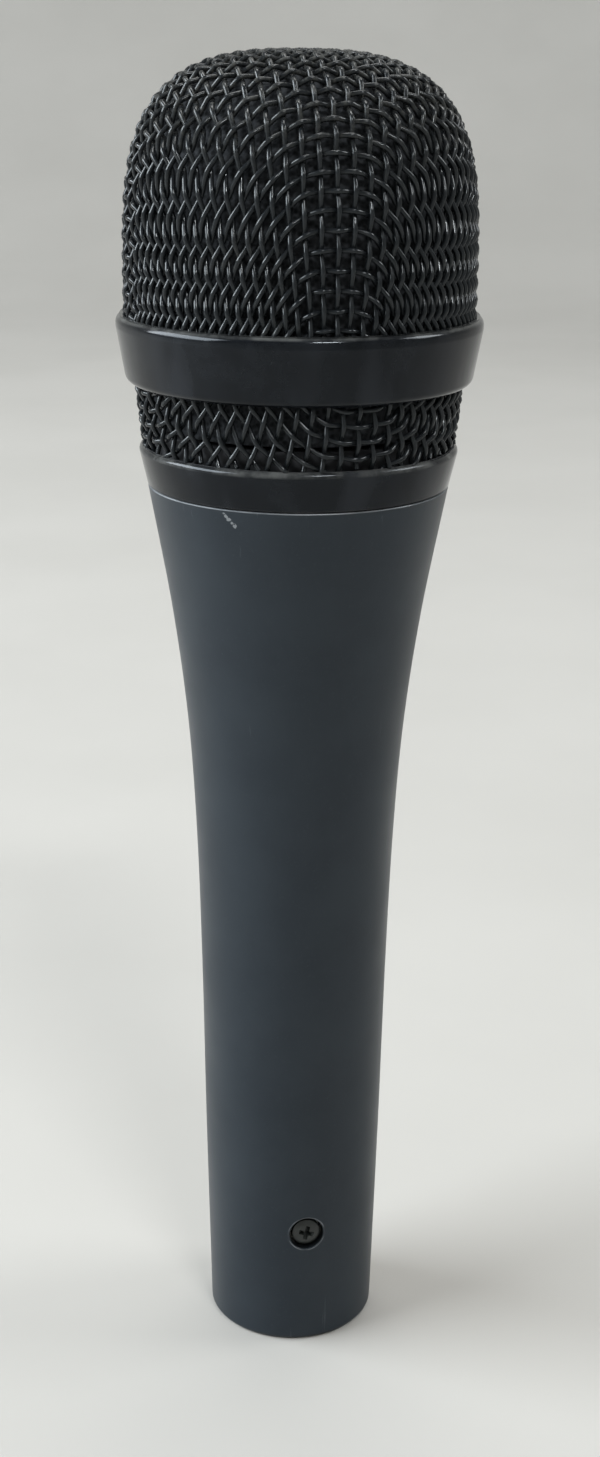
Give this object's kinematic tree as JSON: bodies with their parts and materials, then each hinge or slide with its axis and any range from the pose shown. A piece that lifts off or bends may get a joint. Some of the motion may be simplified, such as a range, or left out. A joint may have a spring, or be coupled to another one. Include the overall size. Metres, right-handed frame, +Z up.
{
  "type": "dynamic microphone",
  "caption": "Handheld vocal microphone: tapered metal handle with a plug-in base outlet, screw-on woven mesh head with crash ring, and a shock-mounted moving-coil capsule inside.",
  "frame": {"origin": "centre of the base, on the plane it stands on", "axes": "+Z up along the handle towards the head, -Y towards the retaining screw"},
  "size_m": [0.0476, 0.0476, 0.18],
  "materials": {
    "handle_paint": "satin dark blue-grey enamel",
    "neck_brass": "machined",
    "mount_rubber": "matte",
    "outlet_nickel": "satin nickel plate",
    "black_plastic": "moulded",
    "contact_gold": "gold plate",
    "tin_plate": "tinned",
    "lead_red": "extruded insulation",
    "lead_blue": "extruded insulation",
    "lead_black": "extruded insulation",
    "screw_black": "black oxide",
    "foam": "open-cell foam",
    "gloss_black": "gloss lacquer",
    "woven_mesh": "black lacquered woven wire",
    "felt": "fine cloth",
    "bare_steel": "plated",
    "magnet_nickel": "nickel plate",
    "coil_copper": "enamelled wire",
    "board_green": "solder resist",
    "diaphragm_film": "formed film"
  },
  "bodies": {
    "handle": {"handle_shell": "handle_paint", "threaded_neck": "neck_brass", "shock_mount": "mount_rubber", "connector_shell": "outlet_nickel", "pin_insulator": "black_plastic", "pin_1": "contact_gold", "pin_2": "contact_gold", "pin_3": "contact_gold", "screw_insert": "neck_brass", "ground_tag": "tin_plate", "lead_hot": "lead_red", "lead_cold": "lead_blue", "lead_ground": "lead_black"},
    "retaining_screw": {"retaining_screw": "screw_black"},
    "foam": {"foam_liner": "foam"},
    "grille_head": {"grille_collar": "gloss_black", "lower_mesh": "woven_mesh", "crash_ring": "gloss_black", "upper_mesh": "woven_mesh"},
    "capsule": {"capsule_housing": "black_plastic", "rear_cup": "black_plastic", "yoke_cup": "bare_steel", "magnet": "magnet_nickel", "pole_piece": "bare_steel", "hum_coil": "coil_copper", "damping_felt": "felt", "diaphragm_seat": "black_plastic", "front_cover": "black_plastic", "cover_screen": "felt", "terminal_board": "board_green", "tag_hot": "tin_plate", "tag_cold": "tin_plate"},
    "moving_coil": {"diaphragm": "diaphragm_film", "voice_coil": "coil_copper"}
  },
  "joints": [
    {"name": "head_travel", "type": "slide", "parent": "handle", "child": "foam", "axis": [0, 0, 1], "range_m": [0, 0.0045]},
    {"name": "head_turn", "type": "hinge", "parent": "foam", "child": "grille_head", "pos_m": [0, 0, 0.1253], "axis": [0, 0, 1], "range_deg": [0, 1080]},
    {"name": "capsule_float", "type": "slide", "parent": "handle", "child": "capsule", "axis": [0, 0, 1], "range_m": [-0.0008, 0.0008], "stiffness_N_per_m": 1400, "springref_m": 0.00035},
    {"name": "diaphragm_travel", "type": "slide", "parent": "capsule", "child": "moving_coil", "axis": [0, 0, 1], "range_m": [-0.00025, 0.00025], "stiffness_N_per_m": 200, "springref_m": 0.00006},
    {"name": "retaining_screw_turn", "type": "hinge", "parent": "handle", "child": "retaining_screw", "pos_m": [0, -0.01175, 0.018], "axis": [0, -1, 0], "range_deg": [0, 1440]}
  ],
  "couplings": [
    {"joint": "head_turn", "follows": "head_travel", "rad_per_m": 4188.8}
  ]
}
